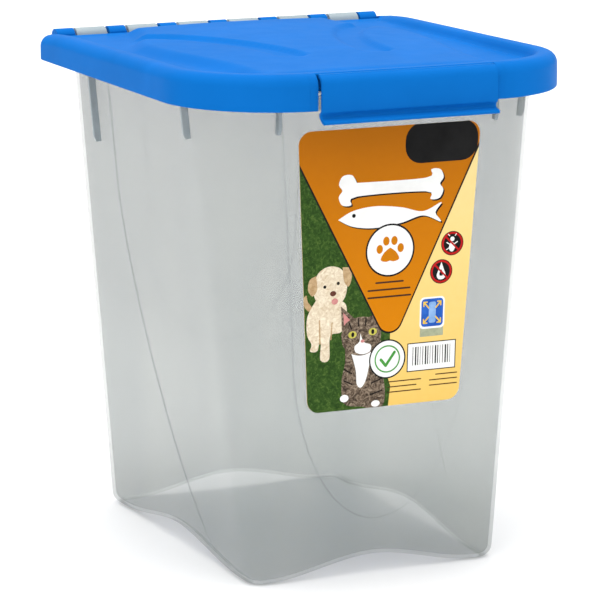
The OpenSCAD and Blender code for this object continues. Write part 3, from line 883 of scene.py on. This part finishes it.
def label_art():
    """Every printed region as (ink name, outline), from the bottom layer to the top one, in X and height."""
    art = []

    def put(name, *loops):
        art.extend((name, loop) for loop in loops)

    put("grass", [(-70, 290), (5, 290), (5, 140), (2, 128), (6, 116), (4, 95), (-70, 95)])
    # puppy
    put("fur_shade", blob([(-52, 174), (-51, 169), (-48, 166), (-46, 168), (-49, 172), (-50, 176)]))
    put("fur", blob([(-44, 172), (-49, 163), (-49, 152), (-46, 146), (-47, 142), (-42, 142), (-41, 151), (-40, 146),
                     (-40, 136), (-34.5, 136), (-34, 150), (-27, 152), (-24, 160), (-26, 170)]))
    put("fur_shade", bar(-41.2, 160, -40.6, 146, 0.9), bar(-33, 158, -33.6, 148, 0.8))
    put("fur", blob([(-46, 178), (-43, 188), (-36, 192), (-28, 190), (-24, 182), (-25, 173), (-30, 168), (-37, 168),
                     (-43, 171)]))
    put("fur_shade", blob([(-44, 187), (-48, 185), (-49, 179), (-46, 175), (-43, 179)]),
        blob([(-27, 191), (-22, 190), (-21, 184), (-23, 179), (-26, 183)]))
    put("dark", disc(-38.2, 180, 1.0), disc(-29.6, 181.5, 1.0))
    put("nose", disc(-32.8, 175.6, 2.0, 0.8))
    put("tongue", disc(-31.6, 170.8, 2.1, 0.9))
    # cat
    put("tabby", blob([(-25, 150), (-24, 134), (-26, 122), (-24, 108), (-12, 105), (-4, 102), (2, 106), (2, 118),
                       (-2, 132), (-2, 146)]))
    put("white", blob([(-20, 138), (-17, 128), (-16, 119), (-13, 117), (-10, 122), (-8, 132), (-8, 139)]))
    put("white", disc(-24, 111.2, 2.8, 0.8), disc(-3.5, 106.2, 2.8, 0.7))
    put("tabby", [(-27.5, 167.5), (-26.6, 152), (-17, 158)], [(-2, 163), (-3.5, 151), (-12, 158)])
    put("tongue", [(-25.9, 163.5), (-25.2, 155.5), (-21, 158.3)])
    put("tabby", blob([(-27, 150), (-24, 157), (-16, 160), (-7, 158.5), (-1.5, 152), (-1.5, 145), (-6, 139),
                       (-13, 136.5), (-20, 138), (-25.5, 143)]))
    put("white", blob([(-14.5, 150), (-12, 144.5), (-7.5, 142.5), (-8, 138.5), (-13, 137.2), (-17.5, 139),
                       (-18, 142.5), (-15, 145)]))
    put("eye", disc(-19.6, 149.6, 2.7, 0.8), disc(-6.4, 150.4, 2.7, 0.8))
    put("dark", disc(-19.4, 149.6, 1.0, 1.5), disc(-6.4, 150.4, 1.0, 1.5))
    put("tongue", disc(-12.9, 145.2, 1.3, 0.75))
    put("dark", bar(-22, 157.2, -20.4, 153.2, 0.8), bar(-16, 159, -15.8, 154.6, 0.8), bar(-11, 159, -11.4, 154.6, 0.8),
        bar(-24.5, 129, -19.6, 126, 0.9), bar(-24.5, 122, -19.2, 119.4, 0.9), bar(-6, 126, -1, 128.6, 0.9),
        bar(-6.4, 119, 0.4, 121.4, 0.9), bar(-7, 112, 0.6, 114, 0.9))
    # inverted triangle
    put("black", round_poly([(-71.2, 280), (5.2, 137.9), (70.6, 280)], [0, 8.4, 0], 12))
    put("orange", round_poly([(-70, 280), (5.2, 140), (69.4, 280)], [0, 7.6, 0], 12))
    put("black", box(11.8, 249.6, 59.4, 274, 10.5), shifted(bone(3.4, 236.6, 66, 13.2), 0.9, -0.9),
        shifted(fish(3.4, 219.4, 68, 13.0), 0.9, -0.9))
    put("white", bone(3.4, 236.6, 66, 13.2), fish(3.4, 219.4, 68, 13.0))
    put("black", disc(-20.5, 221.2, 1.2))
    put("black", disc(3.6, 198.8, 16.0, 1.0, 56))
    put("white", disc(3.6, 198.8, 14.9, 1.0, 56))
    put("orange", *paw(3.6, 199.8, 11.0))
    for k, (x0, x1) in enumerate(((-5, 12.5), (-10, 17), (-10, 17.6))):
        put("brown", bar(x0, 179.6 - 4.4 * k, x1, 179.6 - 4.4 * k, 1.1))
    # round pictograms
    for cx, cz in ((44.4, 199.8), (37.6, 183.2)):
        put("black", disc(cx, cz, 7.4))
        put("red", disc(cx, cz, 6.9))
        put("black", disc(cx, cz, 5.7))
    put("white", disc(44.2, 197.6, 1.9, 1.5), disc(44.4, 202.4, 1.4), bar(40.8, 200.4, 47.8, 196.4, 0.6),
        bar(40.8, 196.2, 47.8, 200.6, 0.6), bar(42.6, 204.4, 41.6, 205.4, 0.5), bar(46.2, 204.4, 47, 205.4, 0.5))
    put("white", blob([(37.6, 189.0), (35.8, 184.2), (34.6, 181.0), (36, 178.6), (39.2, 178.6), (40.6, 181),
                       (39.4, 184.2)]))
    put("black", blob([(37.6, 184.6), (36.4, 182.2), (36.6, 180.6), (38.6, 180.6), (38.8, 182.2)]))
    put("red", bar(40.2, 203.9, 48.5, 195.7, 1.1), bar(33.4, 187.3, 41.7, 179.1, 1.1))
    # container pictogram
    put("grey", box(24.6, 144.2, 40, 149.6, 0.5))
    put("white", box(24.2, 149.0, 40.6, 168.2, 2.6))
    put("blue", box(25.2, 150.2, 39.6, 167.2, 2.2))
    put("pale_blue", box(30.2, 152.4, 34.8, 165.2, 1.2))
    for sx, sz in ((-1, -1), (-1, 1), (1, -1), (1, 1)):
        put("gold", bar(32.4 + sx * 2.4, 158.8 + sz * 2.8, 32.4 + sx * 5.6, 158.8 + sz * 6.4, 0.9),
            bar(32.4 + sx * 5.6, 158.8 + sz * 6.4, 32.4 + sx * 5.6, 158.8 + sz * 4.0, 0.8),
            bar(32.4 + sx * 5.6, 158.8 + sz * 6.4, 32.4 + sx * 3.4, 158.8 + sz * 6.4, 0.8))
    # striped box
    put("black", box(16.6, 123.4, 48.8, 141.0, 0.3))
    put("white", box(17.2, 124.0, 48.2, 140.4, 0.2))
    for k in range(16):
        put("black", box(20.2 + 1.64 * k, 127.2, 20.2 + 1.64 * k + (0.45, 0.9, 0.6, 0.3)[k % 4], 138.4))
    # round badge with a tick
    put("black", disc(3.6, 132.8, 12.0, 1.0, 48))
    put("white", disc(3.6, 132.8, 11.1, 1.0, 48))
    put("leaf", disc(3.6, 132.8, 8.4, 1.0, 40))
    put("white", disc(3.6, 132.8, 7.5, 1.0, 40))
    put("leaf", bar(-0.6, 132.6, 2.6, 128.8, 1.8), bar(2.6, 128.8, 8.2, 136.6, 1.8))
    for k in range(3):
        put("brown", bar(4.5, 118.6 - 3.2 * k, 26 - 3 * (k == 1), 118.6 - 3.2 * k, 0.7),
            bar(36 - 4 * (k > 0), 120.4 - 3.2 * k, 50, 120.4 - 3.2 * k, 0.7))
    return art


def label_inks():
    flat = lambda low, high: [(0.3, low), (0.7, high)]
    return {
        "yellow": height_ink("label_yellow", LABEL_LOW, LABEL_HIGH, (0.80, 0.52, 0.13), (0.86, 0.68, 0.30)),
        "grass": ink("label_grass", [(0.25, (0.012, 0.032, 0.006)), (0.5, (0.03, 0.075, 0.012)),
                                     (0.75, (0.09, 0.16, 0.03))], 420, 6, 1.2),
        "orange": height_ink("label_orange", 150, LABEL_HIGH, (0.62, 0.205, 0.001), (0.46, 0.140, 0.002)),
        "black": ink("label_black", flat((0.006, 0.006, 0.006), (0.012, 0.012, 0.012))),
        "white": ink("label_white", flat((0.80, 0.80, 0.78), (0.88, 0.88, 0.86))),
        "fur": ink("label_fur", flat((0.55, 0.42, 0.27), (0.86, 0.78, 0.62)), 300, 5, 1.5),
        "fur_shade": ink("label_fur_shade", flat((0.36, 0.22, 0.10), (0.58, 0.42, 0.24)), 300, 5, 1.5),
        "tabby": ink("label_tabby", [(0.35, (0.035, 0.025, 0.018)), (0.5, (0.14, 0.10, 0.07)),
                                     (0.65, (0.32, 0.25, 0.18))], 230, 5, 3.0),
        "eye": ink("label_eye", flat((0.45, 0.42, 0.06), (0.60, 0.55, 0.12)), 600),
        "dark": ink("label_dark", flat((0.010, 0.008, 0.007), (0.02, 0.016, 0.014))),
        "nose": ink("label_nose", flat((0.09, 0.03, 0.02), (0.14, 0.05, 0.035)), 500),
        "tongue": ink("label_pink", flat((0.52, 0.20, 0.19), (0.62, 0.28, 0.26)), 500),
        "brown": ink("label_brown", flat((0.05, 0.022, 0.010), (0.07, 0.03, 0.014))),
        "red": ink("label_red", flat((0.42, 0.008, 0.008), (0.50, 0.012, 0.012))),
        "blue": ink("label_blue", flat((0.012, 0.07, 0.36), (0.03, 0.13, 0.52)), 160),
        "pale_blue": ink("label_pale_blue", flat((0.16, 0.32, 0.62), (0.30, 0.48, 0.76)), 160),
        "gold": ink("label_gold", flat((0.72, 0.46, 0.04), (0.82, 0.56, 0.08))),
        "grey": ink("label_grey", flat((0.30, 0.33, 0.22), (0.42, 0.44, 0.30)), 300),
        "leaf": ink("label_leaf", flat((0.05, 0.26, 0.04), (0.08, 0.33, 0.06))),
    }


def label_place(x, z, up=0.25):
    lean = (TOP_FRONT - BASE_Y) / RIM_Z
    return (x, -(BASE_Y + lean * z) - 0.85 - up, z)


def draw_label():
    r = 8
    outer = [(x + LABEL_X, z) for x, z in round_poly(
        [(-label_half(LABEL_LOW), LABEL_LOW), (label_half(LABEL_LOW), LABEL_LOW),
         (label_half(LABEL_HIGH), LABEL_HIGH), (-label_half(LABEL_HIGH), LABEL_HIGH)], r, 12)]
    inner = [(x + (LABEL_X - x) * 1e-5, z + (188 - z) * 1e-5) for x, z in outer]
    inks = label_inks()
    names = list(inks)
    regions = []
    for name, loop in label_art():
        loop = clip(loop, inner)
        if len(loop) > 2:
            xs, zs = [p[0] for p in loop], [p[1] for p in loop]
            regions.append((names.index(name), loop, min(xs), max(xs), min(zs), max(zs)))

    def ink_at(mid):
        x, z = mid[0], mid[1]
        for index, loop, x0, x1, z0, z1 in reversed(regions):
            if x0 <= x <= x1 and z0 <= z <= z1 and inside((x, z), loop):
                return index
        return 0

    s = Shape()
    front = s.add([label_place(x, z) for x, z in outer])
    back = s.add([label_place(x, z, -0.1) for x, z in outer])
    s.strip(back, front)
    s.face(back[::-1], names.index("white"))
    s.patch(front, outer, [loop + loop[:1] for _, loop, *_ in regions], [], label_place, False, ink_at)
    s.build("front_label_film", "bin", list(inks.values()), ["front_label"], sharp=40)


# ------------------------------------------------------------------ put it together

bin_shell()
knuckles()
lid_shell()
latch()
draw_label()


def dress(node, mat):
    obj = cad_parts[node]
    obj.data.materials.clear()
    obj.data.materials.append(mat)


dress("bin_gussets", CLEAR_RIB)
dress("hinge_rod", ROD)
dress("lid_seal_ribs", BLUE)
dress("lid_seal", SEAL)
dress("latch_web", BLUE)

# ------------------------------------------------------------------ floor, light and camera

floor_mat, floor_tree, floor_shader = material("floor")
speck = noise(floor_tree, 2.0, 2.0)
tone = ramp(floor_tree, speck.outputs["Fac"], [(0.0, (0.80, 0.80, 0.80)), (1.0, (0.83, 0.83, 0.83))])
floor_tree.links.new(tone.outputs["Color"], floor_shader.inputs["Base Color"])
floor_shader.inputs["Roughness"].default_value = 0.75
floor_shader.inputs["Specular IOR Level"].default_value = 0.2
bm = bmesh.new()
bmesh.ops.create_grid(bm, x_segments=4, y_segments=4, size=30)
floor_mesh = bpy.data.meshes.new("floor")
bm.to_mesh(floor_mesh)
bm.free()
floor = bpy.data.objects.new("floor", floor_mesh)
floor_mesh.materials.append(floor_mat)
bpy.context.scene.collection.objects.link(floor)

world = bpy.data.worlds.new("studio")
world.use_nodes = True
sky = world.node_tree
sky_coord = sky.nodes.new("ShaderNodeTexCoord")
sky_split = sky.nodes.new("ShaderNodeSeparateXYZ")
sky_light = sky.nodes.new("ShaderNodeMapRange")
sky_light.inputs["From Min"].default_value = 0.0
sky_light.inputs["To Min"].default_value = 0.38
sky_light.inputs["To Max"].default_value = 1.75
sky.links.new(sky_coord.outputs["Generated"], sky_split.inputs["Vector"])
sky.links.new(sky_split.outputs["Z"], sky_light.inputs["Value"])
sky.links.new(sky_light.outputs["Result"], sky.nodes["Background"].inputs["Strength"])
sky.nodes["Background"].inputs["Color"].default_value = (1, 1, 1, 1)
bpy.context.scene.world = world


def softbox(name, place, target, size, power):
    light = bpy.data.lights.new(name, "AREA")
    light.shape = "RECTANGLE"
    light.size, light.size_y = size
    light.energy = power
    obj = bpy.data.objects.new(name, light)
    obj.location = place
    obj.rotation_euler = (Vector(target) - Vector(place)).to_track_quat("-Z", "Y").to_euler()
    bpy.context.scene.collection.objects.link(obj)


def sun(name, place, strength, angle):
    light = bpy.data.lights.new(name, "SUN")
    light.energy = strength
    light.angle = math.radians(angle)
    obj = bpy.data.objects.new(name, light)
    obj.rotation_euler = Vector(place).to_track_quat("Z", "Y").to_euler()
    bpy.context.scene.collection.objects.link(obj)


sun("top", (-0.2, 0.1, 1.6), 1.7, 70)
softbox("key", (-1.1, -1.3, 1.1), (0, 0, 0.18), (0.5, 0.9), 2)
softbox("fill", (1.4, -0.9, 0.8), (0, 0, 0.15), (0.6, 1.0), 2)

AZIMUTH, ELEVATION, DISTANCE = math.radians(-24.5), math.radians(11.6), 2.2
back = Vector((math.sin(AZIMUTH) * math.cos(ELEVATION), -math.cos(AZIMUTH) * math.cos(ELEVATION), math.sin(ELEVATION)))
right = Vector((math.cos(AZIMUTH), math.sin(AZIMUTH), 0))
target = Vector((0, MIDDLE_Y / 1000, 0.146)) + right * 0.002
camera = bpy.data.objects.new("camera", bpy.data.cameras.new("camera"))
camera.location = target + back * DISTANCE
camera.rotation_euler = (-back).to_track_quat("-Z", "Y").to_euler()
camera.data.sensor_width = 36
camera.data.lens = 212.7
camera.data.clip_end = 100
bpy.context.scene.collection.objects.link(camera)
bpy.context.scene.camera = camera
bpy.context.scene.view_settings.view_transform = "Standard"
